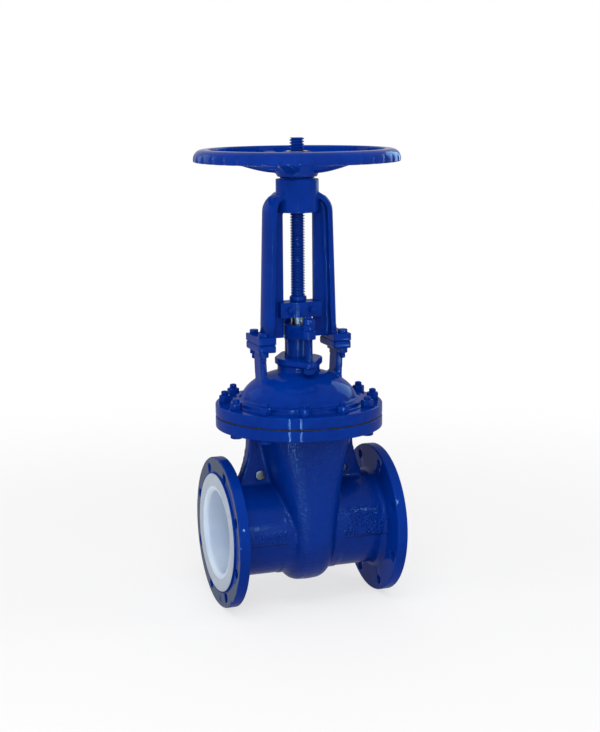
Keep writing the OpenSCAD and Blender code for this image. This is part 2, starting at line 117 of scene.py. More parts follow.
def colour(name, description, default):
    """A colour in linear light."""
    return bpy.props.FloatVectorProperty(
        name=name, description=description, default=default, subtype="COLOR", size=3, min=0, max=1)


def amount(name, description, default):
    """A plain number that isn't negative."""
    return bpy.props.FloatProperty(name=name, description=description, default=default, min=0)


class ValveDetailSettings(PropertyGroup):
    body: length("Body", "Cell size of the body's cast skin", 0.0034)
    bonnet: length("Bonnet", "Cell size of the bonnet's cast skin", 0.0026)
    yoke: length("Yoke", "Cell size of the yoke's cast skin", 0.002)
    wheel: length("Handwheel", "Cell size of the handwheel's cast skin", 0.0018)
    small: length("Small Castings", "Cell size of the gland flange and the clamp", 0.0012)


class ValveCastingSettings(PropertyGroup):
    flange_thickness: length("Pipe Flange", "Thickness of the pipe flanges", 0.024)
    joint_thickness: length("Joint Flange", "Thickness of each bonnet joint flange", 0.025)
    flange_edge: length("Flange Edge", "Radius of the flanges' painted edges", 0.0028)
    ring_bore: length("Ring Bore", "Inner radius of the flanges' crisp rings", 0.1)
    step_height: length("Step Height", "Height of the step around each lining face", 0.0032)
    step_width: length("Step Width", "Width of the step around each lining face", 0.0025)
    pipe_tuck: length("Pipe Tuck", "Radius where the skin dips under a pipe flange", 0.1165)
    body_tuck: length("Body Tuck", "Radius where it dips under the body's joint flange", 0.15)
    bonnet_tuck: length("Bonnet Tuck", "Radius where it dips under the bonnet's flange", 0.1515)
    parting_height: length("Parting Height", "Height of the mould's parting line on the necks", -0.012)
    parting_step: length("Parting Step", "How far the necks' lower halves are set back", 0.0016)
    port_radius: length("Port Radius", "Radius of the lined port", 0.0925)
    lining_lip: length("Lining Lip", "Radius of the rounded lip at each port", 0.010)
    raised_height: length("Raised Height", "Height of the raised lining faces", 0.008)


class ValveYokeSettings(PropertyGroup):
    crown: length("Crown", "Height of the crown on the arms' outer faces", 0.010)
    crown_start: length("Crown Start", "Distance from the stem where the crown begins", 0.0478)
    plate: length("Plate", "Thickness of the arms' outer plates", 0.013)
    half_depth: length("Half Depth", "Half depth of the outer plates", 0.031)
    foot: length("Foot", "Height of the arms' feet over the bore axis", 0.442)
    foot_x: length("Foot Width", "Half width over the arms at the feet", 0.082)
    shoulder: length("Shoulder", "Height of the arms' shoulders over the bore axis", 0.714)
    shoulder_x: length("Shoulder Width", "Half width over the arms at the shoulders", 0.074)
    shoulder_rise: length("Shoulder Rise", "Height of the shoulders' arch", 0.05)


class ValveFastenerSettings(PropertyGroup):
    joint_circle: length("Joint Circle", "Diameter of the bonnet joint's bolt circle", 0.334)
    joint_count: bpy.props.IntProperty(
        name="Joint Bolts", description="Bolts around the bonnet joint", default=12, min=4)
    joint_bolt: length("Joint Bolt", "Diameter of the bonnet joint's bolts", 0.016)
    lug_bolt: length("Lug Bolt", "Diameter of the yoke's lug bolts", 0.012)
    lug_inset: length("Lug Inset", "Distance of the lug bolts from the lugs' ends", 0.015)
    lug_spread: length("Lug Spread", "Distance of the lug bolts from the stem, across", 0.034)
    lug_plate: length("Lug Plate", "Thickness of each lug plate", 0.017)
    gland_stud: length("Gland Stud", "Diameter of the gland studs", 0.016)
    gland_spread: length("Gland Spread", "Distance of the gland studs from the stem", 0.07)
    gland_step: length("Gland Step", "How far the gland flange's ears lie under its middle", 0.006)
    gland_lip: length("Gland Lip", "Thickness of the stuffing box's lip", 0.014)
    clamp_bolt: length("Clamp Bolt", "Diameter of the clamp bolts", 0.008)
    clamp_spread: length("Clamp Spread", "Distance of the clamp bolts from the stem", 0.026)
    clamp_face: length("Clamp Face", "Distance of the clamp's bolt faces from the stem", 0.024)


class ValveThreadSettings(PropertyGroup):
    diameter: length("Diameter", "Diameter of the stem's thread", 0.032)
    pitch: length("Pitch", "Pitch of the stem's left-hand thread", 0.006)
    depth: length("Depth", "Depth of the stem's thread", 0.0034)
    chamfer: length("Chamfer", "Chamfer on the thread's upper end", 0.0022)
    collar: length("Collar Height", "Height of the collar under the thread", 0.012)


class ValveFinishSettings(PropertyGroup):
    enamel: colour("Enamel", "Colour of the blue enamel", (0.0005, 0.0285, 0.262))
    enamel_deep: colour("Deep Enamel", "Enamel where it lies thick or dusty", (0.0004, 0.0225, 0.215))
    lining: colour("Lining", "Colour of the lining", (0.6, 0.7, 0.83))
    gasket: colour("Gasket", "Colour of the joint gasket", (0.012, 0.010, 0.008))
    steel: colour("Steel", "Colour of bare steel", (0.52, 0.52, 0.53))
    brass: colour("Brass", "Colour of the brass sleeve and rings", (0.62, 0.42, 0.16))


class ValveStageSettings(PropertyGroup):
    azimuth: tilt("Azimuth", "Turn of the camera about the stem", -19.5)
    distance: length("Distance", "Level distance from the stem to the camera", 3.4)
    height: length("Height", "Height of the camera over the bore axis", 0.981)
    pitch: tilt("Pitch", "How far the camera looks down", 10.73)
    roll: tilt("Roll", "Roll of the camera", -0.45)
    lens: amount("Lens", "Focal length on a 36 mm sensor, in millimetres", 92.3)
    shift: bpy.props.FloatVectorProperty(
        name="Shift", description="Shift of the lens, as a share of the frame's width",
        default=(0.0022, 0.0217), size=2)
    lamp_power: amount("Lamp Power", "Power of the top softbox in watts", 43.0)
    glint_power: amount("Glint Power", "Power in watts of lamps that only show in the gloss", 8.0)
    glint_colour: colour("Glint Colour", "Colour of those lamps", (0.32, 0.66, 1.0))
    ambient: amount("Ambient", "Strength of the light from all round", 0.42)


SETTINGS = (
    ("valve_detail", ValveDetailSettings),
    ("valve_casting", ValveCastingSettings),
    ("valve_yoke", ValveYokeSettings),
    ("valve_fastener", ValveFastenerSettings),
    ("valve_thread", ValveThreadSettings),
    ("valve_finish", ValveFinishSettings),
    ("valve_stage", ValveStageSettings),
)


# Meshes


def cad_copy(*nodes):
    """A merged bmesh copy of some CAD nodes."""
    bm = bmesh.new()
    for node in nodes:
        bm.from_mesh(frame["nodes"][node].data)
    bmesh.ops.remove_doubles(bm, verts=bm.verts, dist=MERGE)
    return bm


def new_object(name, data):
    """Puts a new object in the scene."""
    item = bpy.data.objects.new(name, data)
    bpy.context.scene.collection.objects.link(item)
    return item


def mesh_object(name, bm):
    """Puts a bmesh in the scene as an object."""
    mesh = bpy.data.meshes.new(name)
    bm.to_mesh(mesh)
    bm.free()
    return new_object(name, mesh)


def add_piece(
    bm, name, *replaced, finish="fastener", slot="casting_blue", body=VALVE, smooth=math.radians(35)
):
    """Makes a piece of a bmesh in one of the finishes, riding on a body, for the CAD nodes that it
    replaces. Edges that turn by more than the smooth angle stay sharp."""
    piece = mesh_object(name, bm)
    piece.data.shade_smooth()
    if smooth:
        piece.data.set_sharp_from_angle(angle=smooth)
    piece.data.materials.append(FINISHES[finish])
    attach(piece, body)
    if replaced:
        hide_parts(*replaced)


def evaluated_bmesh(bm, kind, **values):
    """The bmesh after a modifier with the given settings."""
    work = mesh_object("work", bm)
    modifier = work.modifiers.new(kind.title(), kind)
    for key, value in values.items():
        setattr(modifier, key, value)
    result = bmesh.new()
    result.from_object(work, bpy.context.evaluated_depsgraph_get())
    bpy.data.meshes.remove(work.data)
    return result


def cast_skin(bm, voxel, rounds):
    """Rounds a casting's edges and fills its inner corners, as a foundry's mould does."""
    skin = evaluated_bmesh(bm, "REMESH", mode="VOXEL", voxel_size=voxel, use_smooth_shade=True)
    return evaluated_bmesh(skin, "SMOOTH", factor=0.5, iterations=rounds)


def everything(bm):
    """All verts, edges and faces."""
    return bm.verts[:] + bm.edges[:] + bm.faces[:]


def cut_away(bm, point, normal):
    """Cuts off what lies beyond a plane and closes the cut."""
    cut = bmesh.ops.bisect_plane(
        bm, geom=everything(bm), plane_co=point, plane_no=normal, clear_outer=True)["geom_cut"]
    edges = [item for item in cut if isinstance(item, bmesh.types.BMEdge) and item.is_boundary]
    bmesh.ops.triangle_fill(bm, edges=edges, use_beauty=True, use_dissolve=False)


def tuck(bm, axis, centre, clear, face):
    """Draws a skin's flange just inside the crisp ring that covers it, from a clear radius outwards."""
    blend, inwards, under, slack = 0.004, 0.0014, 0.0008, 0.002
    for vert in bm.verts:
        offset = vert.co - centre
        height = offset.dot(axis)
        out = offset - axis * height
        if out.length > clear and height < face + slack:
            share = min(1.0, (out.length - clear) / blend)
            vert.co -= out.normalized() * inwards * share + axis * under * share


def bevel(bm, edges, radius, segments=2, clamp=True):
    """Rounds some edges."""
    bmesh.ops.bevel(
        bm, geom=edges, offset=radius, offset_type="OFFSET", segments=segments, profile=0.5,
        affect="EDGES", clamp_overlap=clamp, material=-1)


def sharp_edges(bm, degrees):
    """The edges that turn by more than an angle."""
    return [e for e in bm.edges if e.is_manifold and e.calc_face_angle(0) > math.radians(degrees)]


def merge_flat(bm):
    """Dissolves the edges that lie in flat faces."""
    bmesh.ops.dissolve_limit(bm, angle_limit=math.radians(0.5), verts=bm.verts, edges=bm.edges)


def softened(node, radius, segments=3):
    """A bmesh copy of a CAD node with its sharp edges rounded."""
    bm = cad_copy(node)
    merge_flat(bm)
    bevel(bm, sharp_edges(bm, 35), radius, segments)
    return bm


def spun(profile, axis, centre, steps=96, closed=True):
    """Turns a profile of (radius, height) points once about an axis."""
    bm = bmesh.new()
    side = axis.orthogonal().normalized()
    verts = [bm.verts.new(centre + side * r + axis * h) for r, h in profile]
    edges = [bm.edges.new(pair) for pair in zip(verts, verts[1:])]
    if closed:
        edges.append(bm.edges.new((verts[-1], verts[0])))
    bmesh.ops.spin(
        bm, geom=verts + edges, cent=centre, axis=axis, angle=math.tau, steps=steps, use_merge=True)
    bmesh.ops.remove_doubles(bm, verts=bm.verts, dist=MERGE)
    bmesh.ops.recalc_face_normals(bm, faces=bm.faces)
    return bm


def arc(centre, radius, start, steps, step):
    """Points on a circle, from a start angle on by equal steps."""
    angles = [start + k * step for k in range(steps)]
    return [(centre[0] + radius * math.cos(a), centre[1] + radius * math.sin(a)) for a in angles]


def ring_profile(inner, outer, low, high, edge):
    """A square ring's section with its two outer edges rounded."""
    step = math.pi / 12
    lower = arc((outer - edge, low + edge), edge, -math.pi / 2, 7, step)
    upper = arc((outer - edge, high - edge), edge, 0, 7, step)
    return [(inner, low)] + lower + upper + [(inner, high)]


def around(count, start=0.0):
    """Equal angles around a circle, each with the level direction that it points in."""
    for k in range(count):
        angle = (k + start) * math.tau / count
        yield angle, Vector((math.cos(angle), math.sin(angle), 0))


def prism(sides, radius, low, high):
    """A closed upright prism or cylinder between two heights."""
    bm = bmesh.new()
    height = high - low
    bmesh.ops.create_cone(
        bm, cap_ends=True, segments=sides, radius1=radius, radius2=radius, depth=height,
        matrix=Matrix.Translation((0, 0, low + height / 2)))
    return bm


def upright(x, y, angle):
    """The place of an upright fastener, turned about its axis."""
    return Matrix.Translation((x, y, 0)) @ Matrix.Rotation(angle, 4, "Z")


def chamfered_hex(across, low, high, top=True):
    """A hexagon nut or head, with the corners of its upper or its lower end turned off."""
    bm = prism(6, across / math.sqrt(3), low, high)
    slope = math.radians(30)
    height, sign = (high, 1) if top else (low, -1)
    for _, out in around(24):
        point = out * across * 0.485 + UP * height
        cut_away(bm, point, out * math.sin(slope) + UP * sign * math.cos(slope))
    bmesh.ops.recalc_face_normals(bm, faces=bm.faces)
    merge_flat(bm)
    bevel(bm, sharp_edges(bm, 20), across * 0.02)
    return bm


def screw(radius, depth, pitch, low, high, steps, left=False):
    """A screw thread between two heights, closed at both ends."""
    bm = bmesh.new()
    crest, root = 0.37, 0.32  # widths of the flats, as shares of the pitch
    flank = (1 - crest - root) / 2
    levels = (0, root, root + flank, root + flank + crest, 1)
    radii = (radius - depth, radius - depth, radius, radius, radius - depth)
    start = low - 2 * pitch
    turns = math.ceil((high - start) / pitch) + 1
    verts = [bm.verts.new((r, 0, start + level * pitch)) for r, level in zip(radii, levels)]
    edges = [bm.edges.new(pair) for pair in zip(verts, verts[1:])]
    angle = -math.tau * turns if left else math.tau * turns
    bmesh.ops.spin(
        bm, geom=verts + edges, cent=(0, 0, 0), axis=UP, dvec=UP * (pitch / steps), angle=angle,
        steps=steps * turns, use_merge=False)
    bmesh.ops.remove_doubles(bm, verts=bm.verts, dist=MERGE)
    cut_away(bm, UP * low, -UP)
    cut_away(bm, UP * high, UP)
    bmesh.ops.recalc_face_normals(bm, faces=bm.faces)
    return bm


def hex_nut(d, low):
    """A painted nut for a bolt of diameter d, standing on a height."""
    return chamfered_hex(d * 1.5, low, low + d * 0.8)


def dome_end(radius, height):
    """The rounded tip of a painted stud."""
    rise = 0.45  # the dome's height, as a share of its radius
    dome = [(r, h * rise) for r, h in arc((0, 0), radius, 0, 6, math.pi / 12)]
    profile = [(0, -0.001), (radius, -0.001)] + dome + [(0, radius * rise)]
    return spun(profile, UP, Vector((0, 0, height)), steps=24, closed=False)


def add_to(bm, other, matrix=Matrix.Identity(4)):
    """Adds another bmesh, placed by a matrix, and frees it."""
    other.transform(matrix)
    mesh = bpy.data.meshes.new("part")
    other.to_mesh(mesh)
    other.free()
    bm.from_mesh(mesh)
    bpy.data.meshes.remove(mesh)


# Materials


class Surface:
    """A Principled material and the few steps that build its node tree."""

    def __init__(self, name, **values):
        self.material = bpy.data.materials.new(name)
        self.material.use_nodes = True
        self.tree = self.material.node_tree
        self.shader = self.tree.nodes["Principled BSDF"]
        self.coords = self.node("ShaderNodeTexCoord", "Object", {})
        self.shade(**values)

    @classmethod
    def of_tree(cls, tree):
        """The same steps for a node tree that isn't a material's."""
        self = cls.__new__(cls)
        self.tree = tree
        return self

    def node(self, kind, output, inputs, **values):
        """Adds a node with its inputs and some settings, and gives one of its outputs."""
        node = self.tree.nodes.new(kind)
        for key, value in values.items():
            setattr(node, key, value)
        for key, value in inputs.items():
            self.feed(node.inputs[key], value)
        return node.outputs[output]

    def feed(self, socket, value):
        """Joins another node's output to a socket, or sets the socket to a constant."""
        if isinstance(value, bpy.types.NodeSocket):
            self.tree.links.new(value, socket)
        elif socket.type == "RGBA":
            socket.default_value = (*value, 1.0)
        else:
            socket.default_value = value

    def shade(self, **values):
        """Feeds the shader's sockets, each by its name in lower case."""
        for key, value in values.items():
            name = key.replace("_", " ").title().replace("Ior", "IOR")
            self.feed(self.shader.inputs[name], value)

    def noise(self, scale, detail=2.0):
        """A noise from 0 to 1 about the object's origin."""
        inputs = {"Vector": self.coords, "Scale": scale, "Detail": detail}
        return self.node("ShaderNodeTexNoise", "Fac", inputs)

    def math(self, operation, a, b=0.0):
        return self.node("ShaderNodeMath", "Value", {0: a, 1: b}, operation=operation)

    def plus(self, a, b):
        return self.math("ADD", a, b)

    def minus(self, a, b):
        return self.math("SUBTRACT", a, b)

    def times(self, *values):
        """The product of some values."""
        product = values[0]
        for value in values[1:]:
            product = self.math("MULTIPLY", product, value)
        return product

    def ramp(self, value, low, high, out_low=0.0, out_high=1.0):
        """Maps a value smoothly from one range onto another."""
        inputs = {"Value": value, "From Min": low, "From Max": high, "To Min": out_low, "To Max": out_high}
        return self.node("ShaderNodeMapRange", "Result", inputs, interpolation_type="SMOOTHSTEP")

    def mix(self, share, a, b):
        """Blends two colours, which are this node's inputs 6 and 7 and its output 2."""
        return self.node("ShaderNodeMix", 2, {0: share, 6: a, 7: b}, data_type="RGBA")

    def split(self):
        """The three coordinates about the object's origin."""
        node = self.tree.nodes.new("ShaderNodeSeparateXYZ")
        self.feed(node.inputs[0], self.coords)
        return node.outputs[:]

    def off_middle(self, x):
        """The distance from the stem, along the pipe."""
        return self.math("ABSOLUTE", self.minus(x, STEM_X))

    def radius(self, a, b):
        """The distance from an axis, of two coordinates across it."""
        return self.math("SQRT", self.plus(self.times(a, a), self.times(b, b)))

    def bump(self, *layers):
        """Chains bumps, each given as a height and its depth in metres."""
        normal = None
        for height, depth in layers:
            inputs = {"Height": height, "Distance": depth}
            if normal is not None:
                inputs["Normal"] = normal
            normal = self.node("ShaderNodeBump", "Normal", inputs)
        self.shade(normal=normal, coat_normal=normal)


GLOSS = {"specular_ior_level": 0.0, "coat_ior": 1.25, "coat_roughness": 0.06}


def scaled(tone, share):
    """A colour made darker or lighter."""
    return tuple(value * share for value in tone)


def enamel_tone(s):
    """Where the enamel lies thin and bright, from 0 to 1."""
    return s.ramp(s.plus(s.times(s.noise(7.0, 3.0), 0.7), s.times(s.noise(55.0, 3.0), 0.3)), 0.36, 0.62)


def enamel_roughness(s):
    """The uneven roughness of sprayed enamel under its gloss."""
    return s.ramp(s.noise(24.0), 0.3, 0.7, 0.2, 0.3)


def enamel(name, finish, grain, swell, coat=0.3):
    """Glossy blue enamel over iron, with the depths of its grain and of its slower swell."""
    s = Surface(name, coat_weight=coat, **GLOSS)
    paint = s.mix(enamel_tone(s), finish.enamel_deep, finish.enamel)
    s.shade(base_color=paint, roughness=enamel_roughness(s))
    s.bump((s.noise(42.0), swell), (s.noise(230.0), grain))
    return s.material


def casting_enamel(finish, casting):
    """Enamel on the body, a tenth darker than on the other castings as painted shade: coarse on the
    chamber's nose and along the necks' parting line, with a painted shadow line under the parting step.
    """
    s = Surface("casting_enamel", coat_weight=0.45, **GLOSS)
    x, _, z = s.split()
    off_middle = s.off_middle(x)
    line = casting.parting_height
    # Painted shade: the same enamel as the other castings, drawn a tenth darker on the body
    paint = s.mix(enamel_tone(s), scaled(finish.enamel_deep, 0.9), scaled(finish.enamel, 0.9))
    # A painted shadow line under the necks' parting step, where the upper half stands proud
    parting_shadow = s.times(
        s.ramp(z, line - 0.0026, line - 0.0012), s.ramp(z, line + 0.0014, line + 0.0002),
        s.ramp(off_middle, 0.066, 0.071), 0.72)
    s.shade(base_color=s.mix(parting_shadow, paint, (0.0002, 0.005, 0.035)), roughness=enamel_roughness(s))
    nose = s.ramp(off_middle, 0.09, 0.06, 0.3, 1.0)
    grain = s.times(s.minus(s.noise(185.0), 0.5), nose)
    # A band of coarse sand marks rises from the parting line, and reaches higher on the outlet neck
    top = s.ramp(x, STEM_X, STEM_X + 0.05, 0.022, 0.06)
    band = s.times(s.ramp(z, line, line + 0.006), s.ramp(s.minus(top, z), 0.0, 0.012))
    patches = s.times(s.ramp(s.noise(34.0), 0.4, 0.55), s.ramp(off_middle, 0.062, 0.074))
    pits = s.ramp(s.noise(150.0), 0.4, 0.62)
    s.bump((s.noise(42.0), 0.0006), (grain, 0.0024), (s.times(band, patches, pits), 0.0022))
    return s.material


def flange_enamel(finish):
    """Enamel on a pipe flange whose machined faces are left nearly bare, with paint in its holes."""
    s = Surface("flange_enamel", coat_weight=0.3, **GLOSS)
    x, y, z = s.split()
    face = LINING_HIGH.x / 2 - BODY_LOW.x
    on_face = s.ramp(s.off_middle(x), face - 0.0006, face - 0.0001)
    # Two ragged circles bound the bare ring, and a spray of paint narrows it at one side
    radius = s.plus(s.radius(y, z), s.times(s.minus(s.noise(40.0, 3.0), 0.5), 0.016))
    sprayed = s.times(s.ramp(y, -0.02, -0.1), s.ramp(z, -0.11, -0.07))
    inside = s.minus(radius, s.times(sprayed, 0.019))
    bare_ring = s.times(s.ramp(inside, 0.137, 0.139), s.ramp(radius, 0.1685, 0.1665))
    # The distance from the nearest bolt hole, measured along and across the bolt circle
    step = math.tau / FLANGE_HOLES
    angle = s.plus(s.math("ARCTAN2", z, y), math.tau)
    along = s.times(s.minus(s.math("MODULO", angle, step), step / 2), FLANGE_CIRCLE_R)
    from_hole = s.radius(along, s.minus(radius, FLANGE_CIRCLE_R))
    clear_of_hole = s.ramp(from_hole, 0.0125, 0.0145)
    flaked = s.ramp(s.noise(16.0, 4.0), 0.3, 0.38)
    bare = s.times(on_face, bare_ring, clear_of_hole, flaked)
    paint = s.mix(s.ramp(s.noise(7.0, 3.0), 0.36, 0.62), finish.enamel_deep, finish.enamel)
    steel = s.mix(s.noise(26.0, 4.0), (0.03, 0.05, 0.1), (0.06, 0.088, 0.15))
    s.shade(
        base_color=s.mix(bare, paint, steel), metallic=s.times(bare, 0.35),
        roughness=s.plus(s.times(bare, 0.3), enamel_roughness(s)))
    s.bump((s.noise(38.0), 0.0004), (s.noise(210.0), 0.0001))
    return s.material


def fluoroplastic(name, finish, warm=0.0):
    """The lining: white, slightly waxy, with faint flow marks and a darker outer ring on each end face."""
    s = Surface(name, specular_ior_level=0.4, subsurface_weight=0.25,
                subsurface_radius=(0.012, 0.012, 0.012), subsurface_scale=0.25)
    red, green, blue = finish.lining
    shade = (red * 0.88, green * 0.89, blue * 0.93)
    white = s.mix(s.ramp(s.noise(9.0, 4.0), 0.35, 0.65), shade, (red + warm, green, blue - warm))
    x, y, z = s.split()
    # Each end face is drawn darker outside the port's lip
    end = s.ramp(s.off_middle(x), 0.19, 0.196)
    ring = s.ramp(s.plus(s.radius(y, z), s.times(s.noise(30.0, 3.0), 0.003)), 0.1045, 0.1075)
    s.shade(
        base_color=s.mix(s.times(end, ring, 0.75), white, scaled(shade, 0.54)),
        roughness=s.ramp(s.noise(60.0, 3.0), 0.3, 0.7, 0.28, 0.42))
    s.bump((s.noise(22.0), 0.0006), (s.noise(420.0), 0.00004))
    return s.material


def gasket_sheet(finish):
    """Dark fibre sheet with paler fibres in it."""
    s = Surface("gasket_sheet", specular_ior_level=0.12)
    fibres = s.ramp(s.noise(180.0, 4.0), 0.4, 0.68)
    s.shade(
        base_color=s.mix(fibres, finish.gasket, scaled(finish.gasket, 2.2)),
        roughness=s.ramp(s.noise(90.0), 0.3, 0.7, 0.62, 0.85))
    s.bump((s.noise(700.0, 3.0), 0.00015))
    return s.material


def turned_metal(name, tone, axis, roughness):
    """Metal with the fine rings that a lathe leaves along an axis."""
    s = Surface(name, metallic=1.0)
    feed = 0.0007  # metres between the rings
    rings = s.math("SINE", s.times(s.split()[axis], math.tau / feed))
    s.shade(
        base_color=s.mix(s.ramp(s.noise(35.0, 4.0), 0.36, 0.66), scaled(tone, 0.62), tone),
        roughness=s.ramp(s.noise(80.0, 3.0), 0.3, 0.7, roughness * 0.75, roughness * 1.3))
    s.bump((rings, 0.00002), (s.noise(160.0), 0.00006))
    return s.material


def graphite_braid():
    """Black braid, woven around the stem."""
    s = Surface("graphite_braid", specular_ior_level=0.35, roughness=0.6)
    x, y, z = s.split()
    strands, rise = 60.0, 0.003
    across = s.math("SINE", s.times(s.math("ARCTAN2", y, s.minus(x, STEM_X)), strands))
    weave = s.times(s.math("SINE", s.times(z, math.tau / rise)), across)
    s.shade(base_color=s.mix(s.ramp(weave, -0.6, 0.8), (0.02, 0.02, 0.022), (0.12, 0.12, 0.125)))
    s.bump((weave, 0.0004), (s.noise(300.0), 0.0001))
    return s.material


def cast_iron():
    """The gate's bare core."""
    s = Surface("cast_iron", metallic=0.6, roughness=0.55)
    s.shade(base_color=s.mix(s.noise(40.0, 4.0), (0.10, 0.10, 0.105), (0.22, 0.21, 0.2)))
    s.bump((s.noise(120.0, 3.0), 0.0006))
    return s.material


FINISHES = {}

CAD_FINISHES = {
    "bonnet_lining": "lining",
    "gate_lining": "lining",
    "inlet_seat": "seat",
    "outlet_seat": "seat",
    "packing": "packing",
    "lower_thrust_ring": "brass",
    "upper_thrust_ring": "brass",
    "yoke_sleeve": "brass",
    "stem_rod": "steel",
    "gate_core": "iron",
    "gland_follower": "fastener",
}


# Operators and panel


class ValveOperator:
    """What the operators share"""
    bl_options = {"REGISTER", "UNDO"}


class VALVE_OT_finishes(ValveOperator, Operator):
    """Build the finishes and put them on the pieces whose CAD shape stays"""
    bl_idname = "valve.finishes"
    bl_label = "Finishes"

    def execute(self, context):
        finish = context.scene.valve_finish
        FINISHES.update({
            "casting": casting_enamel(finish, context.scene.valve_casting),
            "plain": enamel("plain_enamel", finish, grain=0.0001, swell=0.0004),
            "handwheel": enamel("handwheel_enamel", finish, grain=0.00005, swell=0.0002, coat=0.5),
            "fastener": enamel("fastener_enamel", finish, grain=0.00003, swell=0.0002),
            "flange": flange_enamel(finish),
            "lining": fluoroplastic("lining_white", finish),
            "seat": fluoroplastic("seat_white", finish, warm=0.01),
            "gasket": gasket_sheet(finish),
            "steel": turned_metal("stem_steel", scaled(finish.steel, 0.25), 2, 0.3),
            "plug": turned_metal("plug_steel", scaled(finish.steel, 0.32), 1, 0.26),
            "brass": turned_metal("sleeve_brass", finish.brass, 2, 0.28),
            "packing": graphite_braid(),
            "iron": cast_iron(),
        })
        for node, name in CAD_FINISHES.items():
            for material_slot in frame["nodes"][node].material_slots:
                material_slot.material = FINISHES[name]
        return {"FINISHED"}


class VALVE_OT_body(ValveOperator, Operator):
    """Make the body's cast skin, with filled corners where its necks and webs meet"""
    bl_idname = "valve.body"
    bl_label = "Body Casting"

    def execute(self, context):
        casting = context.scene.valve_casting
        bm = cast_skin(cad_copy("valve_body"), context.scene.valve_detail.body, 3)
        inset = casting.flange_thickness / 3
        joint_low = BODY_HIGH.z - casting.joint_thickness
        cut_away(bm, ALONG * (BODY_LOW.x + inset), -ALONG)
        cut_away(bm, ALONG * (BODY_HIGH.x - inset), ALONG)
        cut_away(bm, UP * (joint_low + inset), UP)
        self.parting_step(bm, casting)
        for face, way in ((BODY_LOW.x, 1), (BODY_HIGH.x, -1)):
            tuck(bm, ALONG * way, ALONG * face, casting.pipe_tuck, casting.flange_thickness)
        tuck(bm, -UP, Vector((STEM_X, 0, BODY_HIGH.z)), casting.body_tuck, casting.joint_thickness)
        add_piece(bm, "body_casting", "valve_body", finish="casting", smooth=None)
        return {"FINISHED"}

    def parting_step(self, bm, casting):
        """Sets the necks' lower halves back, where the two halves of the mould met."""
        line = casting.parting_height
        slope = 0.0008
        for height in (line, line - slope):
            bmesh.ops.bisect_plane(bm, geom=everything(bm), plane_co=UP * height, plane_no=UP)
        neck_start = (LINING_HIGH.x - LINING_LOW.x) * 0.17
        inner, outer = 0.101, 0.118  # radii that only a neck's outside lies between
        for vert in bm.verts:
            across = Vector((0, vert.co.y, vert.co.z))
            below = vert.co.z <= line - slope / 2
            if below and abs(vert.co.x - STEM_X) >= neck_start and inner < across.length < outer:
                vert.co -= across.normalized() * casting.parting_step


class VALVE_OT_flanges(ValveOperator, Operator):
    """Make the pipe flanges with their bolt holes, and the two flanges of the bonnet joint"""
    bl_idname = "valve.flanges"
    bl_label = "Flanges"

    def execute(self, context):
        casting = context.scene.valve_casting
        thickness = casting.flange_thickness
        for name, face, way in (
            ("pipe_flange_inlet", BODY_LOW.x, 1), ("pipe_flange_outlet", BODY_HIGH.x, -1)
        ):
            bm = spun(self.pipe_profile(casting), ALONG * way, ALONG * face, steps=160)
            add_piece(self.drill(bm, face + way * thickness / 2), name, finish="flange")
        joint_radius = (BODY_HIGH.y - BODY_LOW.y) / 2
        height = casting.joint_thickness + HAIR
        profile = ring_profile(casting.ring_bore, joint_radius, 0, height, casting.flange_edge)
        for name, base in (
            ("joint_flange_lower", BODY_HIGH.z - height), ("joint_flange_upper", BONNET_LOW.z)
        ):
            add_piece(spun(profile, UP, Vector((STEM_X, 0, base)), steps=128), name)
        return {"FINISHED"}

    def pipe_profile(self, casting):
        """A pipe flange's section: a step stands on its face, and points inside the rounded edge
        keep that edge out of the facets that the bolt holes cut."""
        bore, edge, thickness = casting.ring_bore, casting.flange_edge, casting.flange_thickness
        radius = -BODY_LOW.z
        shelf = radius - edge - 0.0015
        inner = RAISED_R + HAIR
        outer = inner + casting.step_width
        high = casting.step_height
        step = [
            (inner, 0), (inner, 0.0004 - high), (inner + 0.0004, -high), (outer - 0.0009, -high),
            (outer - 0.0003, 0.0006 - high), (outer, 0)]
        profile = ring_profile(bore, radius, 0, thickness, edge)
        return [(bore, 0)] + step + [(shelf, 0)] + profile[1:-1] + [(shelf, thickness), profile[-1]]

    def drill(self, bm, middle):
        """Cuts the bolt holes and breaks their edges."""
        radius = FLANGE_HOLE_R - 0.0003  # paint narrows the holes
        reach = 0.03
        cutter = bmesh.new()
        for _, out in around(FLANGE_HOLES, 0.5):
            place = Matrix.Translation((middle, FLANGE_CIRCLE_R * out.x, FLANGE_CIRCLE_R * out.y))
            add_to(cutter, prism(48, radius, -reach, reach), place @ Matrix.Rotation(math.pi / 2, 4, "Y"))
        tool = mesh_object("cutter", cutter)
        bm = evaluated_bmesh(bm, "BOOLEAN", operation="DIFFERENCE", object=tool, solver="EXACT")
        bpy.data.meshes.remove(tool.data)
        rims = [
            e for e in sharp_edges(bm, 60)
            if all(abs(math.hypot(v.co.y, v.co.z) - FLANGE_CIRCLE_R) < radius * 1.02 for v in e.verts)
        ]
        bevel(bm, rims, 0.0008, clamp=False)
        return bm


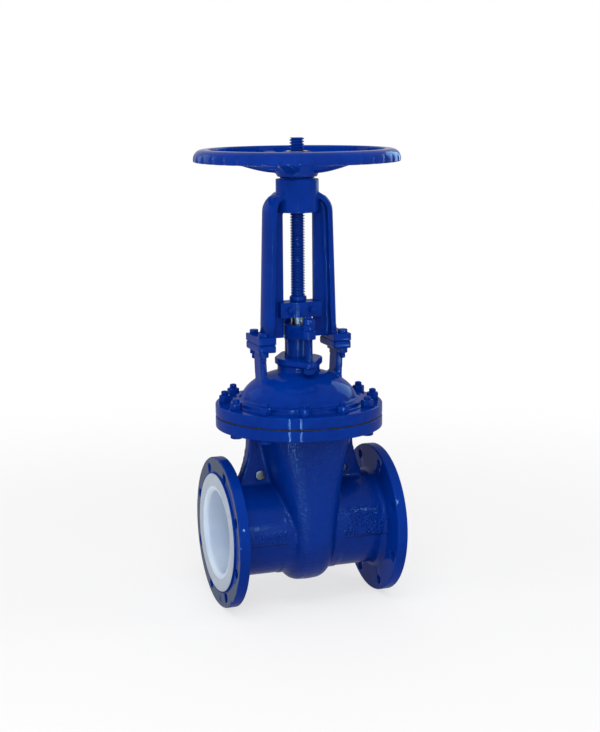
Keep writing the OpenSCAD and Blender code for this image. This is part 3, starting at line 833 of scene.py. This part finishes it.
class VALVE_OT_lining(ValveOperator, Operator):
    """Make the body's lining, with its rounded lips at the ports"""
    bl_idname = "valve.lining"
    bl_label = "Lining"

    def execute(self, context):
        casting = context.scene.valve_casting
        cut = casting.lining_lip * 2
        bm = cad_copy("body_lining")
        cut_away(bm, ALONG * (LINING_LOW.x + cut), -ALONG)
        cut_away(bm, ALONG * (LINING_HIGH.x - cut), ALONG)
        for face, way in ((LINING_LOW.x, 1), (LINING_HIGH.x, -1)):
            add_to(bm, spun(self.end_profile(casting, cut), ALONG * way, ALONG * face, steps=128))
        add_piece(bm, "body_lining_moulded", "body_lining", finish="lining", slot="lining_white")
        return {"FINISHED"}

    def end_profile(self, casting, cut):
        """The section of one end: the port's wall, its rounded lip and the raised face."""
        port, lip, outer, back = casting.port_radius, casting.lining_lip, RAISED_R, casting.raised_height
        wall, sag, edge = 0.002, 0.0012, 0.0016
        bend = arc((port + lip, sag + lip), lip, math.pi, 9, math.pi / 16)
        face = [(port + lip + 0.0015, 0.0008), (port + lip + 0.0035, 0.0001), (outer - edge, 0)]
        rim = [(outer - 0.0005, 0.0005), (outer, edge), (outer, back), (port + wall, back)]
        return [(port + wall, cut), (port, cut)] + bend + face + rim


class VALVE_OT_bonnet(ValveOperator, Operator):
    """Make the bonnet's cast skin, with its arms grown out of the dome"""
    bl_idname = "valve.bonnet"
    bl_label = "Bonnet Casting"

    def execute(self, context):
        casting = context.scene.valve_casting
        bm = cad_copy("bonnet", "bonnet_arms")
        self.join_arms(bm)
        bm = cast_skin(bm, context.scene.valve_detail.bonnet, 4)
        cut_away(bm, UP * (BONNET_LOW.z + casting.joint_thickness / 2), -UP)
        tuck(bm, UP, Vector((STEM_X, 0, BONNET_LOW.z)), casting.bonnet_tuck, casting.joint_thickness)
        add_piece(bm, "bonnet_casting", "bonnet", "bonnet_arms", finish="plain", smooth=None)
        return {"FINISHED"}

    def join_arms(self, bm):
        """Bridges the hair between the arms and the dome that they are cast with."""
        arm_x, middle = 0.086, 0.3
        size = (0.008, (ARMS_HIGH.y - ARMS_LOW.y) / 4, 0.08, 1)
        for way in (-1, 1):
            place = Matrix.Translation((STEM_X + way * arm_x, 0, middle))
            bmesh.ops.create_cube(bm, size=1.0, matrix=place @ Matrix.Diagonal(size))


class VALVE_OT_joint_bolts(ValveOperator, Operator):
    """Make the bonnet joint's bolts, with their heads under the body's flange"""
    bl_idname = "valve.joint_bolts"
    bl_label = "Joint Bolts"

    def execute(self, context):
        fasteners = context.scene.valve_fastener
        thickness = context.scene.valve_casting.joint_thickness
        d = fasteners.joint_bolt
        under = BODY_HIGH.z - thickness - HAIR
        over = BONNET_LOW.z + thickness + HAIR
        for k, (angle, out) in enumerate(around(fasteners.joint_count, 0.5)):
            # Each bolt is turned and stands a little differently, as fitters leave them
            twist = angle + math.radians(7 * math.sin(k * 2.3))
            tip = over + d * (1.45 + 0.12 * math.sin(k * 1.7))
            bm = screw(d / 2, d * 0.035, d * 0.125, over - 0.002, tip, steps=24)
            add_to(bm, dome_end(d * 0.49, tip))
            add_to(bm, chamfered_hex(d * 1.5, over, over + d * 1.08))
            beside_nose = abs(out.y) < 0.9
            if beside_nose:
                add_to(bm, chamfered_hex(d * 1.5, under - d * 0.62, under, top=False))
            centre = out * fasteners.joint_circle / 2
            bm.transform(upright(STEM_X + centre.x, centre.y, twist))
            add_piece(bm, f"joint_bolt_{k + 1:02d}")
        return {"FINISHED"}


class VALVE_OT_gland(ValveOperator, Operator):
    """Make the gland flange's cast skin, its two studs and its nuts"""
    bl_idname = "valve.gland"
    bl_label = "Gland"

    def execute(self, context):
        fasteners = context.scene.valve_fastener
        bm = cast_skin(cad_copy("gland_flange"), context.scene.valve_detail.small, 3)
        add_piece(bm, "gland_casting", "gland_flange", finish="plain", smooth=None)
        d = fasteners.gland_stud
        nut = d * 0.8
        ear_top = GLAND_HIGH.z - fasteners.gland_step
        lip_low = BONNET_HIGH.z - fasteners.gland_lip
        tip = ear_top + d * 1.75
        for name, way in (("gland_stud_front", -1), ("gland_stud_rear", 1)):
            bm = screw(d / 2, d * 0.06, d * 0.13, lip_low - d, tip, steps=20)
            add_to(bm, dome_end(d * 0.47, tip))
            add_to(bm, hex_nut(d, ear_top + HAIR))
            add_to(bm, hex_nut(d, ear_top + nut + 2 * HAIR), Matrix.Rotation(0.35, 4, "Z"))
            add_to(bm, hex_nut(d, lip_low - nut - HAIR))
            bm.transform(upright(STEM_X, way * fasteners.gland_spread, way * 0.3))
            add_piece(bm, name)
        return {"FINISHED"}


class VALVE_OT_yoke(ValveOperator, Operator):
    """Make the yoke's cast skin and its painted head cap"""
    bl_idname = "valve.yoke"
    bl_label = "Yoke"

    def execute(self, context):
        bm = cast_skin(cad_copy("yoke"), context.scene.valve_detail.yoke, 3)
        self.crown(bm, context.scene.valve_yoke)
        add_piece(bm, "yoke_casting", "yoke", finish="plain", smooth=None)
        add_piece(softened("head_cap", 0.0008), "head_cap_turned", "head_cap")
        return {"FINISHED"}

    def crown(self, bm, yoke):
        """Rounds the arms' outer faces, which are cast with a crown and a little deeper at the edges."""
        foot, foot_x, start, plate = yoke.foot, yoke.foot_x, yoke.crown_start, yoke.plate
        shoulder, shoulder_x, rise = yoke.shoulder, yoke.shoulder_x, yoke.shoulder_rise
        foot_fade, edge_fade, crown_reach, edge_reach, deeper = 0.02, 0.012, 1.6, 2.2, 0.11
        for vert in bm.verts:
            out = abs(vert.co.x - STEM_X)
            if vert.co.z < foot or out < start:
                continue
            # How deep the vert lies under the arm's outline, in plate thicknesses, and the way out
            if vert.co.z < shoulder:
                outline = foot_x + (shoulder_x - foot_x) * (vert.co.z - foot) / (shoulder - foot)
                depth = (outline - out) / plate
                way = Vector((1, 0, 0))
            else:
                up = vert.co.z - shoulder
                depth = (1 - math.hypot(out / shoulder_x, up / rise)) * shoulder_x / plate
                way = Vector((out / shoulder_x**2, 0, up / rise**2)).normalized()
            fade = min(1.0, (vert.co.z - foot) / foot_fade) * min(1.0, (out - start) / edge_fade)
            share = max(0.0, min(1.0, crown_reach - depth)) * fade
            way.x = math.copysign(way.x, vert.co.x - STEM_X)
            sag = min(1.0, abs(vert.co.y) / yoke.half_depth) ** 2
            vert.co += way * yoke.crown * share * (0.5 - sag)
            vert.co.y *= 1 + deeper * max(0.0, min(1.0, edge_reach - depth)) * fade


class VALVE_OT_lug_bolts(ValveOperator, Operator):
    """Make the bolts that hold the yoke's lugs on the bonnet's"""
    bl_idname = "valve.lug_bolts"
    bl_label = "Lug Bolts"

    def execute(self, context):
        fasteners = context.scene.valve_fastener
        d = fasteners.lug_bolt
        under = ARMS_HIGH.z - fasteners.lug_plate
        over = ARMS_HIGH.z + fasteners.lug_plate
        tip = under - d * 1.75
        reach = (ARMS_HIGH.x - ARMS_LOW.x) / 2 - fasteners.lug_inset
        upside_down = Matrix.Translation((0, 0, tip)) @ Matrix.Rotation(math.pi, 4, "X")
        corners = [(i, j) for i in (-1, 1) for j in (-1, 1)]
        for number, (i, j) in enumerate(corners, 1):
            bm = screw(d / 2, d * 0.06, d * 0.14, tip, under + 0.002, steps=20)
            add_to(bm, dome_end(d * 0.47, 0), upside_down)
            add_to(bm, chamfered_hex(d * 1.58, under - d * 0.92, under - HAIR, top=False))
            add_to(bm, chamfered_hex(d * 1.58, over + HAIR, over + d * 0.72))
            bm.transform(upright(STEM_X + i * reach, j * fasteners.lug_spread, number * 0.35))
            add_piece(bm, f"lug_bolt_{number}")
        return {"FINISHED"}


class VALVE_OT_handwheel(ValveOperator, Operator):
    """Make the handwheel's cast skin and the nut that holds it on the sleeve"""
    bl_idname = "valve.handwheel"
    bl_label = "Handwheel"

    def execute(self, context):
        bm = cast_skin(cad_copy("handwheel"), context.scene.valve_detail.wheel, 10)
        grip = WHEEL_HIGH.y - 0.02
        rim = [v for v in bm.verts if math.hypot(v.co.x - STEM_X, v.co.y) > grip]
        for _ in range(8):
            bmesh.ops.smooth_vert(
                bm, verts=rim, factor=0.5, use_axis_x=True, use_axis_y=True, use_axis_z=True)
        add_piece(bm, "handwheel_casting", "handwheel", finish="handwheel", body=WHEEL, smooth=None)
        add_piece(softened("wheel_nut", 0.0009), "wheel_nut_turned", "wheel_nut", body=WHEEL)
        return {"FINISHED"}


class VALVE_OT_stem(ValveOperator, Operator):
    """Cut the stem's left-hand trapezoidal thread and turn its collar"""
    bl_idname = "valve.stem"
    bl_label = "Stem Thread"

    def execute(self, context):
        settings = context.scene.valve_thread
        radius, depth = settings.diameter / 2, settings.depth
        foot = THREAD_LOW.z + settings.collar
        bm = screw(radius, depth, settings.pitch, foot - 0.001, THREAD_HIGH.z, steps=36, left=True)
        for _, out in around(24):
            edge = out * (radius - settings.chamfer) + UP * THREAD_HIGH.z
            cut_away(bm, edge, (out + UP).normalized())
        collar_radius = (THREAD_HIGH.x - THREAD_LOW.x) / 2
        profile = ring_profile(radius - depth - 0.001, collar_radius, 0, settings.collar, 0.003)
        add_to(bm, spun(profile, UP, Vector((0, 0, THREAD_LOW.z)), steps=48))
        bmesh.ops.translate(bm, vec=(STEM_X, 0, 0), verts=bm.verts)
        add_piece(bm, "stem_screw", "stem_thread", slot="thread_blue", body=STEM, smooth=math.radians(30))
        return {"FINISHED"}


class VALVE_OT_clamp(ValveOperator, Operator):
    """Make the guide clamp's two halves and its bolts"""
    bl_idname = "valve.clamp"
    bl_label = "Guide Clamp"

    def execute(self, context):
        fasteners = context.scene.valve_fastener
        for node in ("clamp_front", "clamp_rear"):
            bm = cast_skin(cad_copy(node), context.scene.valve_detail.small, 3)
            add_piece(bm, node + "_casting", node, finish="plain", body=STEM, smooth=None)
        d, face = fasteners.clamp_bolt, fasteners.clamp_face
        middle = (CLAMP_LOW.z + CLAMP_HIGH.z) / 2
        for name, way in (("clamp_bolt_left", -1), ("clamp_bolt_right", 1)):
            bm = screw(d / 2, d * 0.06, d * 0.15, -face - d * 1.5, 0, steps=16)
            add_to(bm, prism(24, d * 0.4, -0.005, face))
            add_to(bm, chamfered_hex(d * 1.6, face + HAIR, face + d * 0.68))
            add_to(bm, chamfered_hex(d * 1.6, -face - d * 0.85, -face - HAIR, top=False))
            place = Matrix.Translation((STEM_X + way * fasteners.clamp_spread, 0, middle))
            level = Matrix.Rotation(math.pi / 2, 4, "X") @ Matrix.Rotation(0.2 * way, 4, "Z")
            bm.transform(place @ level)
            add_piece(bm, name, body=STEM)
        return {"FINISHED"}


class VALVE_OT_trim(ValveOperator, Operator):
    """Make the gasket's edge and the steel plugs in the webs"""
    bl_idname = "valve.trim"
    bl_label = "Gasket and Plugs"

    def execute(self, context):
        gasket = softened("bonnet_gasket", 0.0004, segments=2)
        add_piece(gasket, "gasket_sheet", "bonnet_gasket", finish="gasket", slot="gasket_dark")
        plugs = softened("web_plugs", 0.0012)
        add_piece(plugs, "web_plugs_turned", "web_plugs", finish="plug", slot="bare_steel")
        return {"FINISHED"}


def seen_directly(surface):
    """One on rays that show the background itself: from the camera, a reflection or a glass."""
    path = surface.tree.nodes.new("ShaderNodeLightPath").outputs
    seen = surface.math("MAXIMUM", path["Is Camera Ray"], path["Is Glossy Ray"])
    return surface.math("MAXIMUM", seen, path["Is Transmission Ray"])


class VALVE_OT_stage(ValveOperator, Operator):
    """Set the floor, the lamps, the world and the camera"""
    bl_idname = "valve.stage"
    bl_label = "Stage"

    def execute(self, context):
        stage = context.scene.valve_stage
        context.scene.view_settings.view_transform = "Standard"
        self.floor()
        self.world(context, stage)
        self.camera(context, stage)
        self.lamps(stage)
        return {"FINISHED"}

    def floor(self):
        """A wide pale floor that keeps the shadow near the valve and fades to white around it."""
        bm = bmesh.new()
        bmesh.ops.create_circle(bm, cap_ends=True, segments=96, radius=30)
        bmesh.ops.translate(bm, vec=(STEM_X, 0, CAD_LOW[2]), verts=bm.verts)
        floor = mesh_object("floor", bm)
        s = Surface("floor_white", base_color=(0.88, 0.88, 0.89), roughness=0.85, specular_ior_level=0.0)
        x, y, _ = s.split()
        away = s.radius(s.minus(x, STEM_X), y)
        white = s.node("ShaderNodeEmission", "Emission", {})
        share = s.times(seen_directly(s), s.ramp(away, 0.6, 2.4, 0.66, 1.0))
        blend = s.node("ShaderNodeMixShader", "Shader", {0: share, 1: s.shader.outputs["BSDF"], 2: white})
        s.feed(s.tree.nodes["Material Output"].inputs["Surface"], blend)
        floor.data.materials.append(s.material)

    def world(self, context, stage):
        """A soft light from all round, seen as white."""
        world = bpy.data.worlds.new("studio")
        context.scene.world = world
        world.use_nodes = True
        s = Surface.of_tree(world.node_tree)
        background = world.node_tree.nodes["Background"]
        s.feed(background.inputs["Color"], (1, 1, 1))
        s.feed(background.inputs["Strength"], s.ramp(seen_directly(s), 0, 1, stage.ambient, 1.0))

    def camera(self, context, stage):
        """The camera, placed about the stem."""
        data = bpy.data.cameras.new("camera")
        data.sensor_fit = "HORIZONTAL"
        data.lens = stage.lens
        data.shift_x, data.shift_y = stage.shift
        camera = new_object("camera", data)
        out = Vector((math.sin(stage.azimuth), -math.cos(stage.azimuth), 0)) * stage.distance
        place = Matrix.Translation(out + Vector((STEM_X, 0, stage.height)))
        level = Matrix.Rotation(stage.azimuth, 4, "Z")
        down = Matrix.Rotation(math.pi / 2 - stage.pitch, 4, "X")
        camera.matrix_world = place @ level @ down @ Matrix.Rotation(stage.roll, 4, "Z")
        context.scene.camera = camera

    def lamps(self, stage):
        """Soft lamps for the light, and small ones that only show in the gloss."""
        bonnet = Vector((STEM_X, 0, 0.35))
        for name, place, wide, tall, power in (
            ("top_softbox", (-0.6, -1.6, 3.0), 2.4, 1.6, 1.0),
            ("front_softbox", (-1.1, -3.0, 1.6), 1.8, 1.8, 0.75),
            ("right_softbox", (3.2, -1.0, 1.5), 1.4, 1.8, 0.45),
            ("back_softbox", (0.9, 3.0, 1.9), 2.6, 1.6, 0.45),
            ("left_softbox", (-3.2, -0.6, 1.2), 1.6, 1.8, 0.5),
        ):
            lamp = self.lamp(name, place, bonnet, wide, tall, stage.lamp_power * power)
            lamp.visible_glossy = False
        for name, place, wide, tall, power in (
            ("left_glint", (-0.397, -0.68, 0.242), 0.028, 0.804, 0.82),
            ("right_glint", (-0.233, -0.753, 0.242), 0.026, 0.804, 0.73),
            ("wheel_glint_left", (-1.02, 1.1, 1.2), 0.9, 0.9, 0.6),
            ("wheel_glint_right", (1.36, 0.63, 1.12), 0.9, 1.06, 2.3),
            ("window_glint", (0.046, -0.901, 0.256), 0.034, 0.067, 0.2),
            ("neck_glint", (0.29, -0.4925, 0.3), 0.06, 0.06, 0.13),
        ):
            level = Vector((STEM_X, 0, place[2]))
            lamp = self.lamp(name, place, level, wide, tall, stage.glint_power * power)
            lamp.visible_diffuse = False
            lamp.data.color = stage.glint_colour

    def lamp(self, name, place, aim, wide, tall, power):
        """A rectangular lamp, placed from the stem and turned towards a point."""
        data = bpy.data.lights.new(name, "AREA")
        data.shape = "RECTANGLE"
        data.size = wide
        data.size_y = tall
        data.energy = power
        lamp = new_object(name, data)
        place = Vector(place) + ALONG * STEM_X
        facing = (aim - place).to_track_quat("-Z", "Y").to_matrix().to_4x4()
        lamp.matrix_world = Matrix.Translation(place) @ facing
        lamp.visible_camera = False
        return lamp


class VALVE_PT_panel(Panel):
    """Lists the valve's settings and operators"""
    bl_label = "Gate Valve"
    bl_idname = "VALVE_PT_panel"
    bl_space_type = "VIEW_3D"
    bl_region_type = "UI"
    bl_category = "Gate Valve"

    def draw(self, context):
        for name, group in SETTINGS:
            box = self.layout.box()
            for key in group.__annotations__:
                box.prop(getattr(context.scene, name), key)
        for operator in OPERATORS:
            self.layout.operator(operator.bl_idname)


OPERATORS = (
    VALVE_OT_finishes,
    VALVE_OT_body,
    VALVE_OT_flanges,
    VALVE_OT_lining,
    VALVE_OT_bonnet,
    VALVE_OT_joint_bolts,
    VALVE_OT_gland,
    VALVE_OT_yoke,
    VALVE_OT_lug_bolts,
    VALVE_OT_handwheel,
    VALVE_OT_stem,
    VALVE_OT_clamp,
    VALVE_OT_trim,
    VALVE_OT_stage,
)
CLASSES = tuple(group for _, group in SETTINGS) + OPERATORS + (VALVE_PT_panel,)


def register():
    for item in CLASSES:
        bpy.utils.register_class(item)
    for name, group in SETTINGS:
        setattr(bpy.types.Scene, name, bpy.props.PointerProperty(type=group))


def unregister():
    for name, _ in SETTINGS:
        delattr(bpy.types.Scene, name)
    for item in reversed(CLASSES):
        bpy.utils.unregister_class(item)


def main():
    """Registers the add-on and makes every piece in order."""
    register()
    for operator in OPERATORS:
        getattr(bpy.ops.valve, operator.bl_idname.split(".")[1])()


if __name__ == "__main__":
    main()
